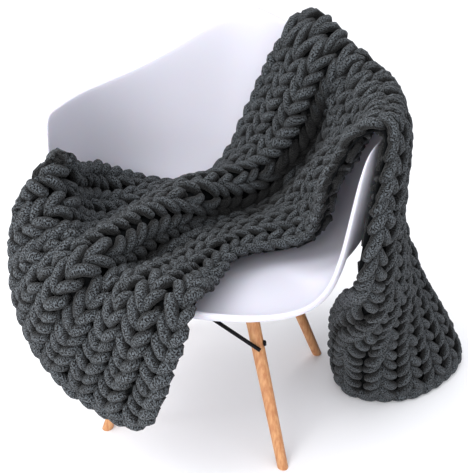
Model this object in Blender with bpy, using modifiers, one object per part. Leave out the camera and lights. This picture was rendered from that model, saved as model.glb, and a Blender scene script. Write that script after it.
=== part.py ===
"""A chunky knit blanket draped over a plain shell chair, at real size.

The blanket is one thick sheet of knitting. It starts on the floor at the right, climbs
over the right arm and the back corner, crosses the seat in one big ridge and fans out over
the left front of the seat, where its cast-off end hangs clear of the floor.
Metres, +Z up. The front of the chair faces -Y.
"""

import math

import bmesh
import bpy
import numpy as np
from mathutils import Matrix, Vector

CM = 0.01
GAP = 0.0003

# The middle of the chair's four feet, seen from the middle of the whole part's floor outline.
CHAIR_AT = Vector((-10.01 * CM, -3.08 * CM, 0.0))

# Chair shell: its rim, by the angle from the middle of the front round to the back.
SEAT_LOW = 38.5 * CM
SHELL_WALL = 0.8 * CM
SHELL_AROUND = 96
SHELL_RINGS = 11
DISH_POWER = 2.4
RISE_POWER = 3.4
#       angle, radius, height
RIM = (
    (0, 29.2, 41.4),
    (20, 30.0, 41.0),
    (35, 31.0, 40.6),
    (44, 31.4, 40.7),
    (51, 31.4, 41.8),
    (56, 31.4, 44.4),
    (60, 31.4, 49.5),
    (63, 31.4, 56.4),
    (66, 31.4, 62.4),
    (70, 31.4, 65.3),
    (80, 31.3, 66.0),
    (95, 31.0, 66.5),
    (125, 28.8, 69.5),
    (150, 27.2, 75.3),
    (165, 27.3, 79.2),
    (180, 27.6, 81.8),
)

# Base: a plate under the seat, four splayed legs and four crossed rods.
PLATE = Vector((21.0 * CM, 23.0 * CM, 1.0 * CM))
LEG_TOP = Vector((8.0 * CM, 9.0 * CM))
LEG_FOOT = Vector((19.4 * CM, 19.4 * CM))
LEG_TOP_RADIUS = 1.45 * CM
LEG_FOOT_RADIUS = 1.1 * CM
LEG_SIDES = 20
ROD_RADIUS = 0.4 * CM
ROD_SIDES = 10
ROD_LOW = 24.0 * CM
ROD_HIGH = 33.5 * CM
BOLT_RADIUS = 0.65 * CM
BOLT_HEAD = 0.35 * CM
BOLT_SIDES = 16

# Blanket: the middle of its thickness, in centimetres from the middle of the feet.
# One row for each station along its length, and one column for each fold line across it.
KNIT_THICK = 3.2 * CM
BLANKET_ROWS = 80
BLANKET_COLUMNS = 25
FOLD_LINES = (
    "back_edge", "back_band", "valley", "ridge_side", "ridge",
    "seam", "front_roll", "front_band", "front_edge",
)
# fmt: off
STATIONS = {
    "floor_hem": (
        (35, 42, 0), (44, 40.5, 0), (51, 34.5, 0), (53.3, 26.5, 0), (50.5, 18.5, 0),
        (45, 11, 0), (38, 7, 0), (30.5, 6.5, 0), (24, 17.5, 0),
    ),
    "right_low": (
        (32, 40.5, 10), (40.5, 38.5, 10), (46, 33, 10), (48.5, 26, 10), (47, 18.5, 10),
        (42.4, 11, 10), (36.4, 4.8, 10), (30.2, 3.6, 10), (24.2, 13.8, 10),
    ),
    "right_middle": (
        (26, 37.5, 23), (32.5, 36.5, 23), (37, 31, 23), (40.8, 25.5, 23), (40.5, 18.5, 23),
        (39.4, 10.6, 23), (36.1, 2.6, 23), (30.9, -2.6, 23.2), (25.2, 7.2, 23.6),
    ),
    "right_high": (
        (18, 34.5, 42), (25, 33.5, 41), (29.5, 27, 40.5), (34.3, 22, 40), (34.3, 14.5, 39.5),
        (36.2, 4.6, 39.5), (35.4, -4, 39.5), (31.9, -11.4, 39.4), (29.4, -13.6, 42.4),
    ),
    "under_rim": (
        (10, 30.5, 62), (16.5, 30, 61), (21.3, 25, 60), (28.4, 20.5, 59.5), (30.8, 13, 58.5),
        (33.2, 4.6, 57.6), (34.4, -4.6, 54.2), (32.6, -12.9, 51.8), (30.2, -16.3, 49.9),
    ),
    "outside_rim": (
        (11.6, 28.4, 75.5), (15.7, 26.3, 73.5), (19.5, 24, 71.5), (23.8, 20.6, 69.3), (28.9, 16.2, 67),
        (32.3, 8.9, 65.9), (34.1, 0.4, 64.8), (33.7, -7.4, 64.1), (31.9, -13.3, 62.7),
    ),
    "over_rim": (
        (10, 25.4, 80.3), (14, 23.3, 80.3), (17.6, 21.6, 77.9), (21.4, 18.5, 75.5), (25.5, 14.2, 73),
        (29.2, 9.1, 71.9), (31.6, 2.3, 70.3), (32.2, -4.6, 69.9), (31.1, -10.7, 68.8),
    ),
    "inside_rim": (
        (7.5, 23.4, 77.3), (11.6, 21.3, 77.8), (15.6, 18.6, 76.2), (19.4, 16, 73.6), (22.6, 14.2, 71.2),
        (26.2, 9.4, 70), (28.9, 3, 69), (29.2, -4.1, 68.3), (27.8, -10.3, 67.3),
    ),
    "inside_high": (
        (3.7, 24.5, 70.3), (8, 21.6, 71.3), (12.9, 17, 71.2), (17, 15, 69), (19.2, 16.45, 66.6),
        (23, 12, 66.3), (26.5, 5, 65), (27.2, -2.8, 64), (25.2, -10, 63.5),
    ),
    "inside_low": (
        (-2.9, 23.5, 52.8), (0.5, 20.5, 54.3), (4.3, 17.5, 55.3), (9.5, 14.5, 54.5), (12.7, 18.7, 50.8),
        (16.5, 16.5, 51), (17.5, 9, 53), (21.5, 0.5, 54.5), (23, -9.8, 56),
    ),
    "seat_right": (
        (-8.2, 18.3, 44.2), (-6.3, 16, 46), (-3.5, 12.5, 48.5), (0, 10, 49.8), (3.5, 10.5, 47.5),
        (6, 14, 42.8), (11, 9.5, 43.2), (16.5, 3.5, 46), (20, -5, 44),
    ),
    "seat_middle": (
        (-16.1, 14.2, 43.7), (-14.5, 9.5, 45), (-12, 4.5, 47), (-9, 0.5, 48.8), (-5.5, -3, 49.3),
        (-1.5, 1.5, 41.8), (3, -1, 42), (6.5, -5.5, 43.5), (9.4, -9.8, 41.9),
    ),
    "seat_left": (
        (-25.2, 8, 48.8), (-24.5, 3, 46.5), (-21, -2.5, 43.5), (-15.5, -9, 46), (-10, -14, 49),
        (-5.5, -9.5, 41.5), (-1.5, -10, 42), (3, -13.5, 43.5), (6.9, -17.6, 41.8),
    ),
    "near_lip": (
        (-28.1, 2.7, 52.8), (-27.3, -3.5, 49), (-25, -9.5, 46.5), (-19, -17, 46), (-12.5, -22, 48),
        (-8.5, -17.5, 40.42), (-4, -17.5, 42), (1.5, -22, 43.5), (7, -24.5, 42.3),
    ),
    "over_lip": (
        (-28.2, -5, 55), (-25.8, -13.3, 53.5), (-23.5, -20.3, 53), (-19, -26, 47.5), (-13.5, -30, 46.5),
        (-10.5, -28.8, 43.8), (-5, -31, 44), (1, -32, 44), (6.8, -31.3, 43.4),
    ),
    "left_hanging": (
        (-26.6, -11.5, 58.5), (-25.5, -19.3, 57.3), (-27.5, -24.2, 50), (-23.5, -29.5, 43.5),
        (-17.5, -33.5, 41.3), (-12.5, -33, 37.5), (-7, -34, 34.5), (-1.5, -35.3, 32.5), (3.5, -35, 31),
    ),
    "cast_off_hem": (
        (-24.5, -18, 60), (-29.8, -21.3, 52.3), (-32.5, -23, 43.5), (-31.9, -25.2, 34.2), (-25.5, -29.7, 25),
        (-17.8, -32.3, 20.2), (-11.2, -33.4, 17.6), (-5.3, -34.3, 17.6), (-1.3, -34.2, 18.5),
    ),
}
# fmt: on


def clear_scene():
    for obj in list(bpy.data.objects):
        bpy.data.objects.remove(obj, do_unlink=True)


def finish(name, colour, roughness, metallic=0.0):
    """A plain material for one kind of surface."""
    material = bpy.data.materials.new(name)
    material.use_nodes = True
    shader = material.node_tree.nodes["Principled BSDF"]
    shader.inputs["Base Color"].default_value = (*colour, 1.0)
    shader.inputs["Roughness"].default_value = roughness
    shader.inputs["Metallic"].default_value = metallic
    return material


def add_object(name, mesh, material, stand):
    obj = bpy.data.objects.new(name, mesh)
    mesh.materials.append(material)
    mesh.shade_smooth()
    stand.users_collection[0].objects.link(obj)
    obj.parent = stand
    return obj


def spline(knots, values, at):
    """The natural cubic spline through the values at the knots, read at each place in `at`."""
    step = np.diff(knots)
    slope = np.diff(values, axis=0) / step[:, None]
    matrix = np.eye(len(knots))
    right = np.zeros_like(values)
    for i in range(1, len(knots) - 1):
        matrix[i, i - 1 : i + 2] = step[i - 1], 2 * (step[i - 1] + step[i]), step[i]
        right[i] = 6 * (slope[i] - slope[i - 1])
    bend = np.linalg.solve(matrix, right)
    i = np.clip(np.searchsorted(knots, at) - 1, 0, len(knots) - 2)
    h = step[i][:, None]
    before = (np.asarray(at) - knots[i])[:, None]
    after = (knots[i + 1] - np.asarray(at))[:, None]
    curve = (bend[i] * after**3 + bend[i + 1] * before**3) / (6 * h)
    curve += (values[i] / h - bend[i] * h / 6) * after
    curve += (values[i + 1] / h - bend[i + 1] * h / 6) * before
    return curve


def run_length(points):
    """How far along a line of points each one lies."""
    return np.concatenate([[0.0], np.cumsum(np.linalg.norm(np.diff(points, axis=0), axis=1))])


def blanket_grid(rows, columns):
    """The sheet's middle surface, its points evenly spaced across each row."""
    stations, lines = len(STATIONS), len(FOLD_LINES)
    folds = np.array(list(STATIONS.values()), float).reshape(stations, lines, 3) * CM
    spacing = np.linalg.norm(np.diff(folds, axis=0), axis=2).mean(axis=1)
    along = np.concatenate([[0.0], np.cumsum(spacing)])
    smooth = spline(along, folds.reshape(stations, -1), np.linspace(0, along[-1], rows))
    grid = np.empty((rows, columns, 3))
    for row, line in zip(grid, smooth.reshape(rows, lines, 3)):
        reach = run_length(line)
        fine = spline(reach, line, np.linspace(0, reach[-1], 12 * columns))
        reach = run_length(fine)
        for axis in range(3):
            row[:, axis] = np.interp(np.linspace(0, reach[-1], columns), reach, fine[:, axis])
    # The first row stands straight under the second, so that the hem is flat on the floor.
    grid[0, :, :2] = grid[1, :, :2]
    grid[0, :, 2] = 0.0
    return grid


def grid_mesh(name, grid):
    """An open quad mesh through a grid of points."""
    mesh = bpy.data.meshes.new(name)
    form = bmesh.new()
    rows, columns = grid.shape[:2]
    points = [[form.verts.new(point) for point in row] for row in grid]
    for i in range(rows - 1):
        for j in range(columns - 1):
            form.faces.new((points[i][j], points[i + 1][j], points[i + 1][j + 1], points[i][j + 1]))
    form.to_mesh(mesh)
    form.free()
    return mesh


def thicken(obj, thickness, offset):
    """Gives an open surface its wall."""
    wall = obj.modifiers.new("wall", "SOLIDIFY")
    wall.thickness = thickness
    wall.offset = offset
    return wall


def add_blanket(material, stand):
    mesh = grid_mesh("blanket", blanket_grid(BLANKET_ROWS, BLANKET_COLUMNS))
    thicken(add_object("blanket", mesh, material, stand), KNIT_THICK, 0.0)


def rim_at(angle):
    """Radius and height of the shell's rim, at an angle in degrees from the front."""
    table = np.array(RIM, float)
    mirrored = np.vstack([table[:0:-1] * (-1, 1, 1), table])
    wrapped = (angle + 180) % 360 - 180
    radius, height = spline(mirrored[:, 0], mirrored[:, 1:], np.array([wrapped]))[0] * CM
    return radius, height


def shell_point(angle, rise):
    """A point of the sitting surface: rise is 0 in the middle of the seat and 1 on the rim."""
    radius, height = rim_at(angle)
    out = radius * (1 - (1 - rise) ** DISH_POWER)
    turn = math.radians(angle - 90)
    level = SEAT_LOW + (height - SEAT_LOW) * rise**RISE_POWER
    return Vector((out * math.cos(turn), out * math.sin(turn), level))


def add_shell(material, stand):
    mesh = bpy.data.meshes.new("chair_shell")
    form = bmesh.new()
    middle = form.verts.new((0, 0, SEAT_LOW))
    angles = [360 * i / SHELL_AROUND for i in range(SHELL_AROUND)]
    rings = [
        [form.verts.new(shell_point(angle, (ring + 1) / SHELL_RINGS)) for angle in angles]
        for ring in range(SHELL_RINGS)
    ]
    for i in range(SHELL_AROUND):
        after = (i + 1) % SHELL_AROUND
        form.faces.new((middle, rings[0][i], rings[0][after]))
        for inner, outer in zip(rings, rings[1:]):
            form.faces.new((inner[i], outer[i], outer[after], inner[after]))
    form.to_mesh(mesh)
    form.free()
    thicken(add_object("chair_shell", mesh, material, stand), SHELL_WALL, -1.0)


def add_plate(material, stand):
    mesh = bpy.data.meshes.new("seat_plate")
    form = bmesh.new()
    bmesh.ops.create_cube(form, size=1.0, matrix=Matrix.Diagonal((*PLATE, 1.0)))
    form.to_mesh(mesh)
    form.free()
    plate = add_object("seat_plate", mesh, material, stand)
    plate.location.z = SEAT_LOW - SHELL_WALL - GAP - PLATE.z / 2
    corners = plate.modifiers.new("corners", "BEVEL")
    corners.width = 0.002
    corners.segments = 2
    return plate.location.z - PLATE.z / 2


def leg_axis(side, end, height, top):
    """The point of one leg's axis at a height: side is -1 left or 1 right, end -1 front or 1 back."""
    share = height / top
    x = LEG_FOOT.x + (LEG_TOP.x - LEG_FOOT.x) * share
    y = LEG_FOOT.y + (LEG_TOP.y - LEG_FOOT.y) * share
    return Vector((side * x, end * y, height))


def leg_radius(height, top):
    return LEG_FOOT_RADIUS + (LEG_TOP_RADIUS - LEG_FOOT_RADIUS) * height / top


def round_bar(name, start, finish_at, radii, sides, material, stand):
    """A straight round bar from one point to another, with its own radius at each end."""
    axis = finish_at - start
    mesh = bpy.data.meshes.new(name)
    form = bmesh.new()
    bmesh.ops.create_cone(
        form, cap_ends=True, segments=sides, radius1=radii[0], radius2=radii[1], depth=axis.length
    )
    form.to_mesh(mesh)
    form.free()
    bar = add_object(name, mesh, material, stand)
    mesh.set_sharp_from_angle(angle=math.radians(40))
    bar.rotation_mode = "QUATERNION"
    bar.rotation_quaternion = axis.to_track_quat("Z", "Y")
    bar.location = (start + finish_at) / 2
    return bar


def trim_level(bar, low, high):
    """Cuts a leaning bar level at its foot and at its top."""
    form = bmesh.new()
    form.from_mesh(bar.data)
    place = Matrix.Translation(bar.location) @ bar.rotation_quaternion.to_matrix().to_4x4()
    bmesh.ops.transform(form, matrix=place, verts=form.verts)
    for height, keep_above in ((low, True), (high, False)):
        bmesh.ops.bisect_plane(
            form,
            geom=form.verts[:] + form.edges[:] + form.faces[:],
            plane_co=(0, 0, height),
            plane_no=(0, 0, 1),
            clear_inner=keep_above,
            clear_outer=not keep_above,
        )
        bmesh.ops.holes_fill(form, edges=[edge for edge in form.edges if edge.is_boundary])
    bmesh.ops.transform(form, matrix=place.inverted(), verts=form.verts)
    form.to_mesh(bar.data)
    form.free()
    bar.data.set_sharp_from_angle(angle=math.radians(40))


def add_legs(top, wood, stand):
    past = 0.1
    for end, end_name in ((-1, "front"), (1, "back")):
        for side, side_name in ((-1, "left"), (1, "right")):
            below, above = -past * top, (1 + past) * top
            low, high = leg_axis(side, end, below, top), leg_axis(side, end, above, top)
            radii = leg_radius(below, top), leg_radius(above, top)
            leg = round_bar(f"leg_{end_name}_{side_name}", low, high, radii, LEG_SIDES, wood, stand)
            trim_level(leg, 0.0, top - GAP)


def add_rods_and_bolts(top, steel, stand):
    """Each pair of legs has two crossed rods, one on the inner side of the legs and one on the outer."""
    for end, end_name in ((-1, "front"), (1, "back")):
        upwards = leg_axis(1, end, top, top) - leg_axis(1, end, 0.0, top)
        outward = upwards.cross(Vector((1, 0, 0))).normalized()
        outward *= 1 if outward.y * end > 0 else -1
        clear = leg_radius(ROD_HIGH, top) + ROD_RADIUS + GAP
        for side, side_name in ((-1, "left"), (1, "right")):
            low = leg_axis(side, end, ROD_LOW, top)
            high = leg_axis(-side, end, ROD_HIGH, top)
            past = (high - low).normalized() * 1.2 * CM
            shift = outward * clear * side
            start, stop = low - past + shift, high + past + shift
            radii = ROD_RADIUS, ROD_RADIUS
            round_bar(f"rod_{end_name}_{side_name}", start, stop, radii, ROD_SIDES, steel, stand)
            along = leg_axis(side, end, top, top) - leg_axis(side, end, 0.0, top)
            sideways = outward.cross(along).normalized()
            sideways *= 1 if sideways.x * side > 0 else -1
            start = low + sideways * (leg_radius(ROD_LOW, top) + GAP)
            stop = start + sideways * BOLT_HEAD
            radii = BOLT_RADIUS, 0.8 * BOLT_RADIUS
            round_bar(f"bolt_{end_name}_{side_name}", start, stop, radii, BOLT_SIDES, steel, stand)


def main():
    clear_scene()
    collection = bpy.data.collections.new("knit_blanket_on_chair")
    bpy.context.scene.collection.children.link(collection)
    stand = bpy.data.objects.new("middle_of_feet", None)
    collection.objects.link(stand)
    stand.location = CHAIR_AT
    yarn = finish("chenille_yarn", (0.045, 0.052, 0.056), 0.95)
    plastic = finish("moulded_plastic", (0.86, 0.86, 0.9), 0.35)
    wood = finish("beech_wood", (0.55, 0.31, 0.17), 0.5)
    steel = finish("blackened_steel", (0.02, 0.02, 0.022), 0.4, 1.0)
    add_blanket(yarn, stand)
    add_shell(plastic, stand)
    top = add_plate(steel, stand)
    add_legs(top, wood, stand)
    add_rods_and_bolts(top, steel, stand)


main()
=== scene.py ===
# %% [markdown]
# # A chunky knit blanket on a shell chair
#
# The blanket is knitted by hand from one very thick chenille yarn, about as thick as a thumb.
# It climbs from the floor over the right arm of a plain moulded chair, crosses the seat in a ridge
# and fans out over the left front. This lesson keeps the solids' sizes and dresses them: the
# knitting is laid along the cloth stitch by stitch, as one yarn would really run, and the chair
# gets its moulded plastic, beech and black steel.

# %% The solids
import math

import bpy
import numpy as np
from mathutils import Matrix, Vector
from mathutils.bvhtree import BVHTree


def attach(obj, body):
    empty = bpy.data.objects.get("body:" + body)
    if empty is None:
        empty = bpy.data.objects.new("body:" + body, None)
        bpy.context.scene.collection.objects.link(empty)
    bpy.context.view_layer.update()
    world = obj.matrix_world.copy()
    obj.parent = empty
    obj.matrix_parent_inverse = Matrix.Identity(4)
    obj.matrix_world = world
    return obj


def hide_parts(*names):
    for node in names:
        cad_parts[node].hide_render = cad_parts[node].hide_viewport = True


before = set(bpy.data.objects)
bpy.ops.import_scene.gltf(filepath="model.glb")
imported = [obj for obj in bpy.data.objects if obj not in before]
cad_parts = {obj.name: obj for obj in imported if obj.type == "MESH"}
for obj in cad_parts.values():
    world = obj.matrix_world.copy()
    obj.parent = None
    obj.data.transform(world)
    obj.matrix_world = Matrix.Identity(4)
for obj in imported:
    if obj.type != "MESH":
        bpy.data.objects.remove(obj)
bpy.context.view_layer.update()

# %% [markdown]
# ## The camera
#
# The photograph looks down on the chair from a little to the right of its front. The distance and
# the lens were worked out from the feet, the rim of the shell and the front edge of the seat. A
# camera is easiest to place from the point that it looks at: go back from there along one line,
# and turn the camera's own Z axis along that line.

# %% The camera
CM = 0.01
CHAIR_AT = np.array((-10.01, -3.08, 0.0)) * CM
LOOK_AT = CHAIR_AT + (0.024, 0.034, 0.385)
AZIMUTH, ELEVATION = math.radians(16.466), math.radians(27.338)
DISTANCE = 1.406
LENS_MM, SENSOR_MM = 50.679, 36

back = Vector(
    (
        math.sin(AZIMUTH) * math.cos(ELEVATION),
        -math.cos(AZIMUTH) * math.cos(ELEVATION),
        math.sin(ELEVATION),
    )
)
bpy.ops.object.camera_add(location=Vector(LOOK_AT) + back * DISTANCE)
camera = bpy.context.object
camera.rotation_euler = back.to_track_quat("Z", "Y").to_euler()
camera.data.sensor_width = SENSOR_MM
camera.data.lens = LENS_MM
bpy.context.scene.camera = camera
print("camera", np.round(camera.location, 3).tolist())

# %% [markdown]
# ## Colours and nodes
#
# Colours are picked as sRGB hex values, as on a screen. A shader wants linear light, so one
# function turns them. Another fills each input of a node with either a number or a link, which
# keeps the materials short.

# %% Colours and nodes


def linear(hex_colour):
    """An sRGB hex colour as linear red, green, blue and alpha."""
    shares = [int(hex_colour[i : i + 2], 16) / 255 for i in (1, 3, 5)]
    return [c / 12.92 if c <= 0.04045 else ((c + 0.055) / 1.055) ** 2.4 for c in shares] + [1.0]


def fill(tree, made, inputs):
    """Gives each input of a node its value, or the output socket that it is linked to."""
    for name, value in inputs.items():
        if isinstance(value, bpy.types.NodeSocket):
            tree.links.new(value, made.inputs[name])
        else:
            made.inputs[name].default_value = value


def node(owner, kind, inputs=None, **settings):
    """Adds a node to a material or a world, with its settings and its inputs."""
    made = owner.node_tree.nodes.new(kind)
    for name, value in settings.items():
        setattr(made, name, value)
    fill(owner.node_tree, made, inputs or {})
    return made


def new_material(name, inputs=None):
    """A material and its Principled shader, with some of the shader's inputs filled."""
    material = bpy.data.materials.new(name)
    material.use_nodes = True
    shader = material.node_tree.nodes["Principled BSDF"]
    fill(material.node_tree, shader, inputs or {})
    return material, shader


print("charcoal in linear light:", np.round(linear("#4a4f52"), 3).tolist())

# %% [markdown]
# ## The folds of the cloth
#
# The solid blanket was built on a table of fold lines: seventeen stations from the hem on the
# floor to the hem that hangs at the left, each with nine points from the back edge to the front
# edge. The knitting has to lie on the same folds, so the table is repeated here, in centimetres
# from the middle of the chair's feet. A natural spline runs smoothly through the points.

# %% The folds of the cloth
# fmt: off
STATIONS = {
    "floor_hem": (
        (35, 42, 0), (44, 40.5, 0), (51, 34.5, 0), (53.3, 26.5, 0), (50.5, 18.5, 0),
        (45, 11, 0), (38, 7, 0), (30.5, 6.5, 0), (24, 17.5, 0),
    ),
    "right_low": (
        (32, 40.5, 10), (40.5, 38.5, 10), (46, 33, 10), (48.5, 26, 10), (47, 18.5, 10),
        (42.4, 11, 10), (36.4, 4.8, 10), (30.2, 3.6, 10), (24.2, 13.8, 10),
    ),
    "right_middle": (
        (26, 37.5, 23), (32.5, 36.5, 23), (37, 31, 23), (40.8, 25.5, 23), (40.5, 18.5, 23),
        (39.4, 10.6, 23), (36.1, 2.6, 23), (30.9, -2.6, 23.2), (25.2, 7.2, 23.6),
    ),
    "right_high": (
        (18, 34.5, 42), (25, 33.5, 41), (29.5, 27, 40.5), (34.3, 22, 40), (34.3, 14.5, 39.5),
        (36.2, 4.6, 39.5), (35.4, -4, 39.5), (31.9, -11.4, 39.4), (29.4, -13.6, 42.4),
    ),
    "under_rim": (
        (10, 30.5, 62), (16.5, 30, 61), (21.3, 25, 60), (28.4, 20.5, 59.5), (30.8, 13, 58.5),
        (33.2, 4.6, 57.6), (34.4, -4.6, 54.2), (32.6, -12.9, 51.8), (30.2, -16.3, 49.9),
    ),
    "outside_rim": (
        (11.6, 28.4, 75.5), (15.7, 26.3, 73.5), (19.5, 24, 71.5), (23.8, 20.6, 69.3), (28.9, 16.2, 67),
        (32.3, 8.9, 65.9), (34.1, 0.4, 64.8), (33.7, -7.4, 64.1), (31.9, -13.3, 62.7),
    ),
    "over_rim": (
        (10, 25.4, 80.3), (14, 23.3, 80.3), (17.6, 21.6, 77.9), (21.4, 18.5, 75.5), (25.5, 14.2, 73),
        (29.2, 9.1, 71.9), (31.6, 2.3, 70.3), (32.2, -4.6, 69.9), (31.1, -10.7, 68.8),
    ),
    "inside_rim": (
        (7.5, 23.4, 77.3), (11.6, 21.3, 77.8), (15.6, 18.6, 76.2), (19.4, 16, 73.6), (22.6, 14.2, 71.2),
        (26.2, 9.4, 70), (28.9, 3, 69), (29.2, -4.1, 68.3), (27.8, -10.3, 67.3),
    ),
    "inside_high": (
        (3.7, 24.5, 70.3), (8, 21.6, 71.3), (12.9, 17, 71.2), (17, 15, 69), (19.2, 16.45, 66.6),
        (23, 12, 66.3), (26.5, 5, 65), (27.2, -2.8, 64), (25.2, -10, 63.5),
    ),
    "inside_low": (
        (-2.9, 23.5, 52.8), (0.5, 20.5, 54.3), (4.3, 17.5, 55.3), (9.5, 14.5, 54.5), (12.7, 18.7, 50.8),
        (16.5, 16.5, 51), (17.5, 9, 53), (21.5, 0.5, 54.5), (23, -9.8, 56),
    ),
    "seat_right": (
        (-8.2, 18.3, 44.2), (-6.3, 16, 46), (-3.5, 12.5, 48.5), (0, 10, 49.8), (3.5, 10.5, 47.5),
        (6, 14, 42.8), (11, 9.5, 43.2), (16.5, 3.5, 46), (20, -5, 44),
    ),
    "seat_middle": (
        (-16.1, 14.2, 43.7), (-14.5, 9.5, 45), (-12, 4.5, 47), (-9, 0.5, 48.8), (-5.5, -3, 49.3),
        (-1.5, 1.5, 41.8), (3, -1, 42), (6.5, -5.5, 43.5), (9.4, -9.8, 41.9),
    ),
    "seat_left": (
        (-25.2, 8, 48.8), (-24.5, 3, 46.5), (-21, -2.5, 43.5), (-15.5, -9, 46), (-10, -14, 49),
        (-5.5, -9.5, 41.5), (-1.5, -10, 42), (3, -13.5, 43.5), (6.9, -17.6, 41.8),
    ),
    "near_lip": (
        (-28.1, 2.7, 52.8), (-27.3, -3.5, 49), (-25, -9.5, 46.5), (-19, -17, 46), (-12.5, -22, 48),
        (-8.5, -17.5, 40.42), (-4, -17.5, 42), (1.5, -22, 43.5), (7, -24.5, 42.3),
    ),
    "over_lip": (
        (-28.2, -5, 55), (-25.8, -13.3, 53.5), (-23.5, -20.3, 53), (-19, -26, 47.5), (-13.5, -30, 46.5),
        (-10.5, -28.8, 43.8), (-5, -31, 44), (1, -32, 44), (6.8, -31.3, 43.4),
    ),
    "left_hanging": (
        (-26.6, -11.5, 58.5), (-25.5, -19.3, 57.3), (-27.5, -24.2, 50), (-23.5, -29.5, 43.5),
        (-17.5, -33.5, 41.3), (-12.5, -33, 37.5), (-7, -34, 34.5), (-1.5, -35.3, 32.5), (3.5, -35, 31),
    ),
    "hanging_hem": (
        (-24.5, -18, 60), (-29.8, -21.3, 52.3), (-32.5, -23, 43.5), (-31.9, -25.2, 34.2),
        (-25.5, -29.7, 25), (-17.8, -32.3, 20.2), (-11.2, -33.4, 17.6), (-5.3, -34.3, 17.6),
        (-1.3, -34.2, 18.5),
    ),
}
# fmt: on
FINE_ROWS, FINE_COLUMNS = 400, 121


def spline(knots, values, at):
    """The natural cubic spline through the values at the knots, read at each place in `at`."""
    step = np.diff(knots)
    slope = np.diff(values, axis=0) / step[:, None]
    matrix = np.eye(len(knots))
    right = np.zeros_like(values)
    for i in range(1, len(knots) - 1):
        matrix[i, i - 1 : i + 2] = step[i - 1], 2 * (step[i - 1] + step[i]), step[i]
        right[i] = 6 * (slope[i] - slope[i - 1])
    bend = np.linalg.solve(matrix, right)
    i = np.clip(np.searchsorted(knots, at) - 1, 0, len(knots) - 2)
    h = step[i][:, None]
    before = (np.asarray(at) - knots[i])[:, None]
    after = (knots[i + 1] - np.asarray(at))[:, None]
    start = bend[i] * after**3 / (6 * h) + (values[i] / h - bend[i] * h / 6) * after
    end = bend[i + 1] * before**3 / (6 * h) + (values[i + 1] / h - bend[i + 1] * h / 6) * before
    return start + end


def run_length(points):
    """How far along a line of points each one lies."""
    return np.concatenate([[0.0], np.cumsum(np.linalg.norm(np.diff(points, axis=0), axis=1))])


def cloth_grid(rows, columns):
    """The middle surface of the cloth, its points evenly spaced across each row."""
    folds = np.array(list(STATIONS.values()), float) * CM
    stations, lines = folds.shape[:2]
    spacing = np.linalg.norm(np.diff(folds, axis=0), axis=2).mean(axis=1)
    along = np.concatenate([[0.0], np.cumsum(spacing)])
    smooth = spline(along, folds.reshape(stations, -1), np.linspace(0, along[-1], rows))
    grid = np.empty((rows, columns, 3))
    for row, line in zip(grid, smooth.reshape(rows, lines, 3)):
        reach = run_length(line)
        fine = spline(reach, line, np.linspace(0, reach[-1], 4 * columns))
        reach = run_length(fine)
        for axis in range(3):
            row[:, axis] = np.interp(np.linspace(0, reach[-1], columns), reach, fine[:, axis])
    return grid + CHAIR_AT


FOLDS = cloth_grid(FINE_ROWS, FINE_COLUMNS)
print("folds drawn with", FINE_ROWS, "by", FINE_COLUMNS, "points")

# %% [markdown]
# ## Letting the knitting slide on the folds
#
# The fold lines say where the cloth is, not where its rows and columns run. On the real blanket
# every stitch is about as wide as every other and its rows cross its columns squarely, however
# the cloth is folded. So a coarse net is laid over the folds, with a spring along each side and
# each diagonal of its meshes. The springs pull, the net slides along the surface and never leaves
# it, and after a few hundred small steps its meshes are more even, though not where the folds are
# tightest. The knots on the edges only slide along the edges. In each round a knot stops at `ROOM`
# of an even gap from where its neighbours were. That limits folding over but doesn't rule it out:
# at the back corner of the hanging end the fine grid, which follows the net, still folds over
# itself at one spot, and the stitches there crowd to a lump.

# %% Letting the knitting slide on the folds
NET_ROWS, NET_COLUMNS = 28, 9
SIDE_SPRING, DIAGONAL_SPRING = 1.0, 0.5
ROUNDS = 700
EASE = 0.1
FARTHEST_ALONG, FARTHEST_ACROSS = 0.01, 0.03
ROOM = 0.35
DOWN = np.gradient(FOLDS, axis=0) * (FINE_ROWS - 1)
OVER = np.gradient(FOLDS, axis=1) * (FINE_COLUMNS - 1)


def read(grid, along, across):
    """A grid of values, read at shares of its length and width."""
    i = np.clip(along, 0, 1) * (FINE_ROWS - 1)
    j = np.clip(across, 0, 1) * (FINE_COLUMNS - 1)
    low_i = np.clip(i.astype(int), 0, FINE_ROWS - 2)
    low_j = np.clip(j.astype(int), 0, FINE_COLUMNS - 2)
    share_i, share_j = (i - low_i)[..., None], (j - low_j)[..., None]
    near = grid[low_i, low_j] * (1 - share_j) + grid[low_i, low_j + 1] * share_j
    far = grid[low_i + 1, low_j] * (1 - share_j) + grid[low_i + 1, low_j + 1] * share_j
    return near * (1 - share_i) + far * share_i


def widths_and_lengths(grid):
    """The width of each row of a grid of points and the length of each column."""
    widths = np.linalg.norm(np.diff(grid, axis=1), axis=2).sum(axis=1)
    lengths = np.linalg.norm(np.diff(grid, axis=0), axis=2).sum(axis=0)
    return widths, lengths


def spring_pulls(points, row_gap, column_gap):
    """The pull of the springs on every knot of the net: along, across and on both diagonals."""
    pulls = np.zeros_like(points)
    diagonal = math.hypot(row_gap, column_gap)
    first, later, all_of_it = slice(0, -1), slice(1, None), slice(None)
    for one, other, rest, strength in (
        ((first, all_of_it), (later, all_of_it), row_gap, SIDE_SPRING),
        ((all_of_it, first), (all_of_it, later), column_gap, SIDE_SPRING),
        ((first, first), (later, later), diagonal, DIAGONAL_SPRING),
        ((first, later), (later, first), diagonal, DIAGONAL_SPRING),
    ):
        between = points[other] - points[one]
        length = np.linalg.norm(between, axis=2, keepdims=True)
        pull = strength * (length - rest) * between / length
        pulls[one] += pull
        pulls[other] -= pull
    return pulls


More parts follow.
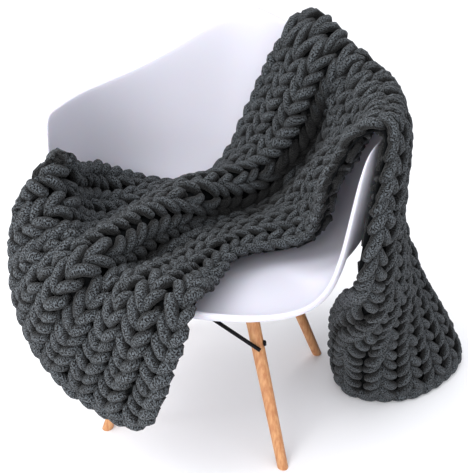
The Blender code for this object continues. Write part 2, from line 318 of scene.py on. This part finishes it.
def sliding_net():
    """Where the knots of the net come to rest, as shares along and across the folds."""
    shares = np.linspace(0, 1, NET_ROWS), np.linspace(0, 1, NET_COLUMNS)
    along, across = np.meshgrid(*shares, indexing="ij")
    fold_widths, fold_lengths = widths_and_lengths(FOLDS)
    row_gap = fold_lengths.mean() / (NET_ROWS - 1)
    column_gap = fold_widths.mean() / (NET_COLUMNS - 1)
    for _ in range(ROUNDS):
        pulls = spring_pulls(read(FOLDS, along, across), row_gap, column_gap)
        down, over = read(DOWN, along, across), read(OVER, along, across)
        down_down, over_over = (down**2).sum(axis=2), (over**2).sum(axis=2)
        both = (down * over).sum(axis=2)
        pull_down, pull_over = (pulls * down).sum(axis=2), (pulls * over).sum(axis=2)
        share = down_down * over_over - both**2
        move_along = (pull_down * over_over - pull_over * both) / share
        move_across = (pull_over * down_down - pull_down * both) / share
        for side in (0, -1):
            move_along[:, side] = pull_down[:, side] / down_down[:, side]
            move_across[side] = pull_over[side] / over_over[side]
            move_across[:, side], move_along[side] = 0, 0
        along += np.clip(EASE * move_along, -FARTHEST_ALONG, FARTHEST_ALONG)
        across += np.clip(EASE * move_across, -FARTHEST_ACROSS, FARTHEST_ACROSS)
        gap = ROOM / (NET_ROWS - 1)
        along[1:-1] = np.clip(along[1:-1], along[:-2] + gap, along[2:] - gap)
        gap = ROOM / (NET_COLUMNS - 1)
        across[:, 1:-1] = np.clip(across[:, 1:-1], across[:, :-2] + gap, across[:, 2:] - gap)
    return along, across


def finer(net):
    """The coarse net drawn out smoothly to the fine grid."""
    longer = spline(np.linspace(0, 1, NET_ROWS), net, np.linspace(0, 1, FINE_ROWS))
    return spline(np.linspace(0, 1, NET_COLUMNS), longer.T, np.linspace(0, 1, FINE_COLUMNS)).T


ALONG, ACROSS = (finer(net) for net in sliding_net())
CLOTH = read(FOLDS, ALONG, ACROSS)
down_the_cloth = np.gradient(CLOTH, axis=0)
across_the_cloth = np.gradient(CLOTH, axis=1)
FACING = np.cross(down_the_cloth, across_the_cloth)
FACING /= np.linalg.norm(FACING, axis=2, keepdims=True)
SPREAD = np.linalg.norm(across_the_cloth, axis=2)[..., None] * (FINE_COLUMNS - 1)
widths, lengths = widths_and_lengths(CLOTH)
mean_length = lengths.mean()
print("cloth width, m:", widths.min().round(3), "to", widths.max().round(3))
print("cloth length, m:", lengths.min().round(3), "to", lengths.max().round(3))

# %% [markdown]
# ## Open air
#
# Shade is painted into the yarn's colour here: where a fold shuts the air out, the pile is
# painted almost black. From points all over the cloth a few dozen rays look out, spread evenly
# over half a sphere, and the share that doesn't meet the cloth within the width of a hand says how
# open the place is. This share darkens the yarn's colour as painted shade, so a valley is dark
# from whichever side it is seen.

# %% Open air
STEP, RAYS = 4, 32
LIFT, HAND = 1.8 * CM, 10 * CM
GOLDEN_ANGLE = math.radians(137.5)
SHUT, OPEN = 0.3, 0.8
DARKEST = 0.03


def grid_faces(rows, columns):
    """The four corners of each face of a grid of points."""
    corner = (np.arange(rows - 1)[:, None] * columns + np.arange(columns - 1)).ravel()
    return np.stack([corner, corner + columns, corner + columns + 1, corner + 1], axis=-1)


places, facing = CLOTH[::STEP, ::STEP], FACING[::STEP, ::STEP]
rows, columns = places.shape[:2]
tree = BVHTree.FromPolygons(places.reshape(-1, 3).tolist(), grid_faces(rows, columns).tolist())
turn = np.arange(RAYS) * GOLDEN_ANGLE
flat = np.sqrt((np.arange(RAYS) + 0.5) / RAYS)
rays = np.stack([flat * np.cos(turn), flat * np.sin(turn), np.sqrt(1 - flat**2)], axis=1)
free = np.zeros((rows, columns))
for i in range(rows):
    for j in range(columns):
        stand = Vector(facing[i, j]).to_track_quat("Z", "Y").to_matrix()
        start = Vector(places[i, j] + facing[i, j] * LIFT)
        looks = (tree.ray_cast(start, stand @ Vector(ray), HAND) for ray in rays)
        free[i, j] = sum(hit is None for hit, *_ in looks) / RAYS
# Painted shade: this open-air share darkens the yarn's colour, down to DARKEST in shut folds.
longer = spline(np.arange(rows) * STEP, free, np.arange(FINE_ROWS))
SKY = spline(np.arange(columns) * STEP, longer.T, np.arange(FINE_COLUMNS)).T[..., None]
SKY = DARKEST + (1 - DARKEST) * np.clip((SKY - SHUT) / (OPEN - SHUT), 0, 1)
print("open air:", np.percentile(SKY, [0, 25, 50, 75, 100]).round(2).tolist())

# %% [markdown]
# ## One stitch
#
# In plain knitting each loop is pulled through the one before it. Its two legs come out to the
# front and lean apart, which makes the V, and its head and feet go round behind the neighbours.
# Thick plush yarn swells where it lies free, on the legs, and is squeezed thin where it goes
# under. The short table below follows the yarn over half a stitch: from the middle of the foot,
# between two stitches, up one leg to the middle of the head. The other half is its mirror image.
# A spline through the table gives the smooth run of the yarn, and a little chance makes no two
# stitches the same, as in hand knitting. At both ends of a row the feet are tucked in behind the
# outermost leg, where the yarn turns back, so the selvedge shows a clean line of legs.

# %% One stitch
STITCHES = 10
ROWS = 54
#    across, along, depth, thickness: shares of a stitch, of a row, and of the thickest yarn
HALF_STITCH = (
    (0.00, -0.10, -0.80, 0.60),
    (0.26, -0.30, -0.95, 0.50),
    (0.45, -0.20, -0.25, 0.68),
    (0.44, 0.08, 0.55, 0.88),
    (0.36, 0.42, 0.97, 1.00),
    (0.23, 0.78, 1.00, 1.00),
    (0.11, 1.08, 0.62, 0.84),
    (0.19, 1.30, -0.40, 0.55),
    (0.50, 1.28, -1.00, 0.50),
)
LOWEST, HIGHEST = -0.3, 1.35
FRONT_TUCKED, BACK_TUCKED = 0.18, 0.38
POINTS_PER_STITCH = 24
#    how far chance moves a whole leg, and each point of it, in the units of the table
LEG_CHANCE = (0.022, 0.045, 0.12, 0.05)
POINT_CHANCE = (0.008, 0.012, 0.0, 0.01)


def row_of_stitches(row, count, chance):
    """One row of loops: across in stitches, along in rows, depth and thickness as in the table."""
    half = np.array(HALF_STITCH)
    other_half = half[-2:0:-1] * (-1, 1, 1, 1) + (1, 0, 0, 0)
    whole = np.concatenate([half, other_half])
    knots = np.concatenate([whole + (stitch, row, 0, 0) for stitch in range(count)])
    knots = np.concatenate([knots, whole[:1] + (count, row, 0, 0)])
    legs = np.repeat(chance.normal(size=(2 * count, 4)), len(half) - 1, axis=0)
    knots[:-1] += legs * LEG_CHANCE
    knots += chance.normal(size=knots.shape) * POINT_CHANCE
    tucked = np.where(knots[:, 2] < 0, BACK_TUCKED, FRONT_TUCKED)
    knots[:, 0] = np.clip(knots[:, 0], tucked, count - tucked)
    places = np.arange(len(knots), dtype=float)
    return spline(places, knots, np.linspace(0, places[-1], POINTS_PER_STITCH * count + 1))


def knit_rows(first, last, count, chance):
    """The yarn of several rows, worked to and fro."""
    path = []
    for row in range(first, last):
        line = row_of_stitches(row, count, chance)
        if row % 2:
            line = line[::-1]
        path.append(line)
    return np.concatenate(path)


print("stitches in the blanket:", STITCHES * ROWS)

# %% [markdown]
# ## From a line to a yarn
#
# A curve with a bevel would make a round tube, but this yarn is squashed: it is a little wider
# than deep, fat on the legs and thin behind. So the ring of points round the line is written out,
# with its flat side always turned to the face of the cloth. Each point also carries a painted
# light level, the painted shade of the yarn: most light on the crown of a leg, some on the bumps
# at the back, none where the yarn goes under, little on its sides and less in shut folds. The
# outermost legs have no neighbour, so `bare` keeps the painted shade off their free side. Each
# corner gets its place along and round the yarn in metres, so that the pile can be drawn at its
# real size.

# %% From a line to a yarn
SIDES = 12
THICKEST = 1.14 * CM
FLATTEN = 0.92
DEEP = 1.15 * CM
FULL_WIDTH = 5.7 * CM
SET_BACK = 0.15 * CM
FLOOR_GAP = 0.1 * CM
TIGHTEST, SQUEEZE = 0.4, 0.6
BARE_UNTIL = 0.6
BARE_AIR, BARE_TURN = 0.5, 0.8
RING = np.linspace(0, 2 * np.pi, SIDES, endpoint=False) - np.pi / 2


def on_cloth(across, along):
    """Points, normals and the local width of the cloth, at shares across and along it."""
    normals = read(FACING, along, across)
    normals /= np.linalg.norm(normals, axis=1, keepdims=True)
    return read(CLOTH, along, across), normals, read(SPREAD, along, across)[:, 0]


def lay(across, along, path, count, thickest, deep):
    """Centre points, facing directions, radii and painted light level round a yarn laid on the cloth.
    """
    points, facing, spread = on_cloth(across, along)
    crowded = np.clip(spread / (STITCHES * FULL_WIDTH), TIGHTEST, 1.0) ** SQUEEZE
    radius = thickest * crowded * path[:, 3]
    points = points + facing * (deep * path[:, 2] - SET_BACK)[:, None]
    points[:, 2] = np.maximum(points[:, 2], radius + FLOOR_GAP)
    from_edge = np.minimum(path[:, 0], count - path[:, 0])
    bare = np.clip(2 * (BARE_UNTIL - from_edge), 0, 1)
    # Painted shade: darker on the sides of each leg, where the yarn goes under and in shut folds;
    # `bare` keeps the free side of the outermost legs light.
    front = np.clip((path[:, 2] + 1) / 2, BARE_AIR * bare, 1) * read(SKY, along, across)[:, 0]
    behind = np.clip(-path[:, 2], 0, 1)
    face = np.sin(RING)[None, :]
    open_in_front = np.clip(face + BARE_TURN * bare[:, None], 0, 1) * front[:, None]
    open_behind = np.clip(-face, 0, 1) * behind[:, None]
    return points, facing, radius, np.maximum(open_in_front, open_behind)


def new_piece(name, corners, faces):
    """A smooth mesh object from its corners and its faces."""
    mesh = bpy.data.meshes.new(name)
    mesh.from_pydata(corners.tolist(), [], faces)
    mesh.shade_smooth()
    piece = bpy.data.objects.new(name, mesh)
    bpy.context.scene.collection.objects.link(piece)
    return piece


def yarn(name, points, facing, radius, painted_light):
    """A closed tube along a line of points, with its flat side to the cloth's face."""
    count = len(points)
    ahead = np.gradient(points, axis=0)
    ahead /= np.linalg.norm(ahead, axis=1, keepdims=True)
    sideways = np.cross(ahead, facing)
    sideways /= np.linalg.norm(sideways, axis=1, keepdims=True)
    outwards = np.cross(sideways, ahead)
    ring = (
        sideways[:, None] * (radius[:, None] * np.cos(RING))[..., None]
        + outwards[:, None] * (FLATTEN * radius[:, None] * np.sin(RING))[..., None]
    )
    corners = np.concatenate([(points[:, None] + ring).reshape(-1, 3), points[[0, -1]]])
    i, j = np.meshgrid(np.arange(count - 1), np.arange(SIDES), indexing="ij")
    after = (j + 1) % SIDES
    quads = np.stack(
        [i * SIDES + j, i * SIDES + after, (i + 1) * SIDES + after, (i + 1) * SIDES + j], axis=-1
    ).reshape(-1, 4)
    first_middle, last_middle, last_ring = count * SIDES, count * SIDES + 1, (count - 1) * SIDES
    ends = []
    for side in range(SIDES):
        beside = (side + 1) % SIDES
        ends += [(first_middle, beside, side), (last_middle, last_ring + side, last_ring + beside)]
    piece = new_piece(name, corners, quads.tolist() + ends)

    reach = run_length(points)
    wrap = np.arange(SIDES + 1) / SIDES * 2 * np.pi * radius.mean()
    along = np.stack([reach[i], reach[i], reach[i + 1], reach[i + 1]], axis=-1)
    round_it = np.stack([wrap[j], wrap[j + 1], wrap[j + 1], wrap[j]], axis=-1)
    places = np.stack([along, round_it], axis=-1).reshape(-1)
    uv = piece.data.uv_layers.new(name="along_the_yarn")
    uv.data.foreach_set("uv", np.concatenate([places, np.zeros(len(ends) * 3 * 2)]))

    # Painted shade: each corner keeps its light level, which darkens the chenille's colour.
    painted_light_level = piece.data.attributes.new("painted_light_level", "FLOAT", "POINT")
    painted_light_level.data.foreach_set("value", np.concatenate([painted_light.reshape(-1), [0.0, 0.0]]))
    return piece


# %% [markdown]
# ## The knitting
#
# The rows are laid along the cloth from the end that hangs at the left, taken here as the one
# where the blanket was begun, to the end on the floor. The rows are a little taller towards the
# floor, because the knitting there hangs from the arm and its own weight pulls the loops long.
# Where the cloth is gathered the stitches crowd, and the yarn is squeezed a little thinner, but
# not by as much, so neighbouring loops run into each other there.

# %% The knitting
HEM_ROOM = 2.3 * CM
SIDE_ROOM = 0.1 * CM
STRETCH = 0.12
SEED = 7
row_places = np.linspace(0, 1, FINE_ROWS)


def lay_knitting(path):
    """Lays a path in stitches and rows on the cloth, between its two chains."""
    share = (path[:, 1] - LOWEST) / (ROWS - 1 + HIGHEST - LOWEST)
    share = (share + STRETCH * share**2) / (1 + STRETCH)
    room = HEM_ROOM / mean_length
    along = 1 - room - (1 - 2 * room) * share
    side = SIDE_ROOM / np.interp(along, row_places, widths)
    across = 1 - side - path[:, 0] / STITCHES * (1 - 2 * side)
    return lay(across, along, path, STITCHES, THICKEST, DEEP)


chance = np.random.default_rng(SEED)
knitting = []
thirds = ("knit_hanging_end", "knit_over_seat", "knit_floor_end")
for i, name in enumerate(thirds):
    first, last = i * ROWS // len(thirds), (i + 1) * ROWS // len(thirds)
    strand = yarn(name, *lay_knitting(knit_rows(first, last, STITCHES, chance)))
    knitting.append(strand)
    print(name, "triangles:", sum(len(face.vertices) - 2 for face in strand.data.polygons))

# %% [markdown]
# ## The chains along the two ends
#
# Casting on and casting off both leave a chain along the end: a line of Vs that lie along the hem
# and cover the open loops. A chain is nothing but knitting one stitch wide, so the same rows are
# used, turned to run along the hem, smaller and drawn tight.

# %% The chains along the two ends
LINKS = 18
CHAIN_WIDTH = 3.0 * CM
CHAIN_YARN = 0.95 * CM
CHAIN_DEEP = 0.8 * CM
CHAIN_START, CHAIN_REACH = 0.03, 0.94
LINK_EDGE = 0.13


def chain_along(name, end):
    """A chain of links along one end of the cloth: end is 0 on the floor and 1 where it hangs."""
    path = knit_rows(0, LINKS, 1, chance)
    across = CHAIN_START + CHAIN_REACH * (path[:, 1] - LOWEST) / (LINKS - 1 + HIGHEST - LOWEST)
    inwards = (CHAIN_YARN + CHAIN_WIDTH * (path[:, 0] - LINK_EDGE)) / mean_length
    along = np.abs(end - inwards)
    return yarn(name, *lay(across, along, path, 1, CHAIN_YARN, CHAIN_DEEP))


knitting.append(chain_along("cast_off_chain", 0))
knitting.append(chain_along("cast_on_chain", 1))

# %% [markdown]
# ## The pile between the stitches
#
# The plush of neighbouring loops meets and closes the gaps, so no light comes through a chenille
# blanket. A thin sheet just behind the middle of the knitting stands for that pile, and its
# near-black colour is painted shade, the shade deep down between the stitches. It is made as a
# sheet of cloth is: a grid of faces on the folds, given a small thickness.

# %% The pile between the stitches
PILE_EDGE = 0.9 * CM
PILE_BEHIND = 0.25 * CM
PILE_THICK = 0.3 * CM
PILE_ROWS, PILE_COLUMNS = 160, 49


def select_only(piece):
    """Makes one object the active and the only selected one."""
    bpy.ops.object.select_all(action="DESELECT")
    bpy.context.view_layer.objects.active = piece
    piece.select_set(True)


end_inset, side_inset = PILE_EDGE / mean_length, PILE_EDGE / widths.mean()
along, across = np.meshgrid(
    np.linspace(end_inset, 1 - end_inset, PILE_ROWS),
    np.linspace(side_inset, 1 - side_inset, PILE_COLUMNS),
    indexing="ij",
)
points, facing, _ = on_cloth(across.ravel(), along.ravel())
points -= facing * PILE_BEHIND
pile = new_piece("meeting_pile", points, grid_faces(PILE_ROWS, PILE_COLUMNS).tolist())
thickness = pile.modifiers.new("thickness", "SOLIDIFY")
thickness.thickness = PILE_THICK
thickness.offset = 0
select_only(pile)
bpy.ops.object.modifier_apply(modifier="thickness")
print("pile faces:", len(pile.data.polygons))

# %% [markdown]
# ## Chenille
#
# Chenille is a core thread with short cut fibres standing out all round. They scatter the light,
# so it has no shine. The tufts are about 2 mm across. They are drawn with a noise a little longer
# round the yarn than along it, for both the speckle of colour and the relief; the speckle is light
# at the tip of each tuft and painted shade, nearly black, at its root. The painted light level of
# each point then sets how light it is, a painted shade that goes nearly black where the yarn turns
# down into a gap.

# %% Chenille
TUFT = 0.002
ROUND_SHARE = 0.7
CLUMP = 0.03
FIBRE = 0.004
chenille, shader = new_material("chenille_charcoal")
where = node(chenille, "ShaderNodeUVMap", uv_map="along_the_yarn")
scaled = node(
    chenille,
    "ShaderNodeMapping",
    {"Vector": where.outputs["UV"], "Scale": (1 / TUFT, ROUND_SHARE / TUFT, 1.0)},
)
tufts = node(
    chenille,
    "ShaderNodeTexNoise",
    {"Vector": scaled.outputs["Vector"], "Scale": 1.0, "Detail": 1.0, "Roughness": 0.5},
)
tips = node(
    chenille,
    "ShaderNodeMapRange",
    {"Value": tufts.outputs["Fac"], "From Min": 0.41, "From Max": 0.6},
)
# Random speckle of tone whose near-black specks are painted shade at the roots of the tufts.
speckle_and_root_shade = node(
    chenille,
    "ShaderNodeMix",
    {0: tips.outputs["Result"], 6: linear("#040405"), 7: linear("#5b6166")},
    data_type="RGBA",
)
# Painted shade: the light level laid on the yarn darkens its colour on the sides, under and in folds.
painted_light = node(chenille, "ShaderNodeAttribute", attribute_name="painted_light_level")
shade = node(
    chenille,
    "ShaderNodeMapRange",
    {"Value": painted_light.outputs["Fac"], "From Min": 0.4, "From Max": 1.0, "To Min": 0.02, "To Max": 1.0},
)
body = node(chenille, "ShaderNodeTexCoord")
clumps = node(
    chenille,
    "ShaderNodeTexNoise",
    {"Vector": body.outputs["Object"], "Scale": 1 / CLUMP, "Detail": 2.0},
)
uneven = node(
    chenille,
    "ShaderNodeMapRange",
    {"Value": clumps.outputs["Fac"], "From Min": 0.3, "From Max": 0.7, "To Min": 0.85, "To Max": 1.12},
)
both = node(
    chenille,
    "ShaderNodeMath",
    {0: shade.outputs["Result"], 1: uneven.outputs["Result"]},
    operation="MULTIPLY",
)
colour = node(
    chenille,
    "ShaderNodeVectorMath",
    {0: speckle_and_root_shade.outputs[2], "Scale": both.outputs["Value"]},
    operation="SCALE",
)
relief = node(
    chenille,
    "ShaderNodeBump",
    {"Height": tips.outputs["Result"], "Distance": TUFT, "Strength": 1.0},
)
fill(
    chenille.node_tree,
    shader,
    {
        "Base Color": colour.outputs["Vector"],
        "Normal": relief.outputs["Normal"],
        "Roughness": 0.95,
        "Specular IOR Level": 0.15,
        "Sheen Weight": 0.1,
        "Sheen Roughness": 0.6,
    },
)

# Painted shade: the sheet's near-black colour stands for the shade deep between the stitches.
painted_gap_shade, shader = new_material(
    "painted_shade_in_the_gaps", {"Roughness": 1.0, "Specular IOR Level": 0.05}
)
body = node(painted_gap_shade, "ShaderNodeTexCoord")
fibres = node(
    painted_gap_shade,
    "ShaderNodeTexNoise",
    {"Vector": body.outputs["Object"], "Scale": 1 / FIBRE, "Detail": 3.0},
)
colour = node(
    painted_gap_shade,
    "ShaderNodeMix",
    {0: fibres.outputs["Fac"], 6: linear("#030304"), 7: linear("#151718")},
    data_type="RGBA",
)
fill(painted_gap_shade.node_tree, shader, {"Base Color": colour.outputs[2]})

for strand in knitting:
    strand.data.materials.append(chenille)
pile.data.materials.clear()
pile.data.materials.append(painted_gap_shade)
for piece in (*knitting, pile):
    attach(piece, "root")
    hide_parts("blanket")
print("chenille on", len(knitting), "strands")

# %% [markdown]
# ## The smooth shell
#
# The shell is moulded in one piece from polypropylene, and its rim is rounded by the mould. The
# solid has flat faces and a square rim, so a copy replaces it: its loose triangles are merged and
# turned back to squares, and two rounds of subdivision smooth them. The original is left alone.

# %% The smooth shell
SAME_PLACE = 0.01 * CM
SQUARE_ENOUGH = math.radians(60)
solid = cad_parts["chair_shell"]
shell = solid.copy()
shell.data = solid.data.copy()
shell.name = "moulded_shell"
bpy.context.scene.collection.objects.link(shell)
select_only(shell)
bpy.ops.object.mode_set(mode="EDIT")
bpy.ops.mesh.select_all(action="SELECT")
bpy.ops.mesh.remove_doubles(threshold=SAME_PLACE)
bpy.ops.mesh.tris_convert_to_quads(face_threshold=SQUARE_ENOUGH, shape_threshold=SQUARE_ENOUGH)
bpy.ops.mesh.normals_make_consistent(inside=False)
bpy.ops.object.mode_set(mode="OBJECT")
smoother = shell.modifiers.new("smoother", "SUBSURF")
smoother.levels = 2
bpy.ops.object.modifier_apply(modifier="smoother")
bpy.ops.object.shade_smooth()
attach(shell, "root")
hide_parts("chair_shell")
print("shell faces:", len(solid.data.polygons), "->", len(shell.data.polygons))

# %% [markdown]
# ## Plastic, wood and steel
#
# Polypropylene is a little cloudy and softly glossy: light goes a few millimetres into it. The
# legs are oiled beech, pale reddish brown with fine darker lines along the leg, which come from a
# noise stretched fifteen times along it. The plate, the rods and the bolts share one dark steel
# with a dull metal sheen.

# %% Plastic, wood and steel
GRAIN_WIDE, GRAIN_LONG = 0.005, 0.075
plastic, _ = new_material(
    "moulded_polypropylene",
    {
        "Base Color": linear("#d4d3de"),
        "Roughness": 0.35,
        "Subsurface Weight": 0.15,
        "Subsurface Scale": 0.004,
    },
)

beech, shader = new_material("oiled_beech", {"Roughness": 0.5})
body = node(beech, "ShaderNodeTexCoord")
along_leg = node(
    beech,
    "ShaderNodeMapping",
    {"Vector": body.outputs["Object"], "Scale": (1 / GRAIN_WIDE, 1 / GRAIN_WIDE, 1 / GRAIN_LONG)},
)
lines = node(
    beech, "ShaderNodeTexNoise", {"Vector": along_leg.outputs["Vector"], "Scale": 1.0, "Detail": 4.0}
)
grain = node(
    beech, "ShaderNodeMapRange", {"Value": lines.outputs["Fac"], "From Min": 0.35, "From Max": 0.65}
)
wood = node(
    beech,
    "ShaderNodeMix",
    {0: grain.outputs["Result"], 6: linear("#b4764a"), 7: linear("#cd9868")},
    data_type="RGBA",
)
fill(beech.node_tree, shader, {"Base Color": wood.outputs[2]})

steel, _ = new_material(
    "blackened_steel", {"Base Color": linear("#1a1a1c"), "Metallic": 1.0, "Roughness": 0.4}
)

finishes = {"leg": beech, "rod": steel, "bolt": steel, "seat": steel}
for name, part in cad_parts.items():
    for slot in part.material_slots:
        slot.material = finishes.get(name.split("_")[0], slot.material)
shell.data.materials.clear()
shell.data.materials.append(plastic)
print("finishes:", sorted({material.name for material in finishes.values()}))

# %% [markdown]
# ## Floor and light
#
# The picture has a white ground and almost no shadow, as in a studio with a large bright ceiling.
# So the world gets brighter towards straight up, a soft window stands at the upper left, and a
# second soft light near the camera opens up the shadow inside the right arm. The floor is big
# enough for its far edge to stay out of the picture, but it shows from lower down.

# %% Floor and light
FLOOR_SIZE = 60
LIT_POINT = Vector((0, 0, 0.4))
bpy.ops.mesh.primitive_plane_add(size=FLOOR_SIZE, location=(0, 0, 0))
floor = bpy.context.object
floor.name = "floor"
paper, _ = new_material("pale_floor", {"Base Color": linear("#f6f6f8"), "Roughness": 0.9})
floor.data.materials.append(paper)

world = bpy.data.worlds.new("studio")
bpy.context.scene.world = world
world.use_nodes = True
sky_light = world.node_tree.nodes["Background"]
direction = node(world, "ShaderNodeTexCoord")
height = node(world, "ShaderNodeSeparateXYZ", {"Vector": direction.outputs["Generated"]})
overhead = node(
    world,
    "ShaderNodeMapRange",
    {"Value": height.outputs["Z"], "From Min": 0.0, "From Max": 1.0, "To Min": 0.33, "To Max": 1.72},
)
fill(
    world.node_tree,
    sky_light,
    {"Color": linear("#fbfcff"), "Strength": overhead.outputs["Result"]},
)


def soft_light(name, place, size, power):
    """A square soft light that faces the chair."""
    bpy.ops.object.light_add(type="AREA", location=place)
    lamp = bpy.context.object
    lamp.name = name
    lamp.data.size = size
    lamp.data.energy = power
    lamp.rotation_euler = (Vector(place) - LIT_POINT).to_track_quat("Z", "Y").to_euler()


soft_light("window_left", (-1.3, -1.2, 2.5), 1.6, 28)
soft_light("fill_front", (-0.5, -2.3, 1.1), 1.4, 32)

bpy.context.scene.view_settings.view_transform = "Standard"

# %% The last line
bpy.context.view_layer.update()
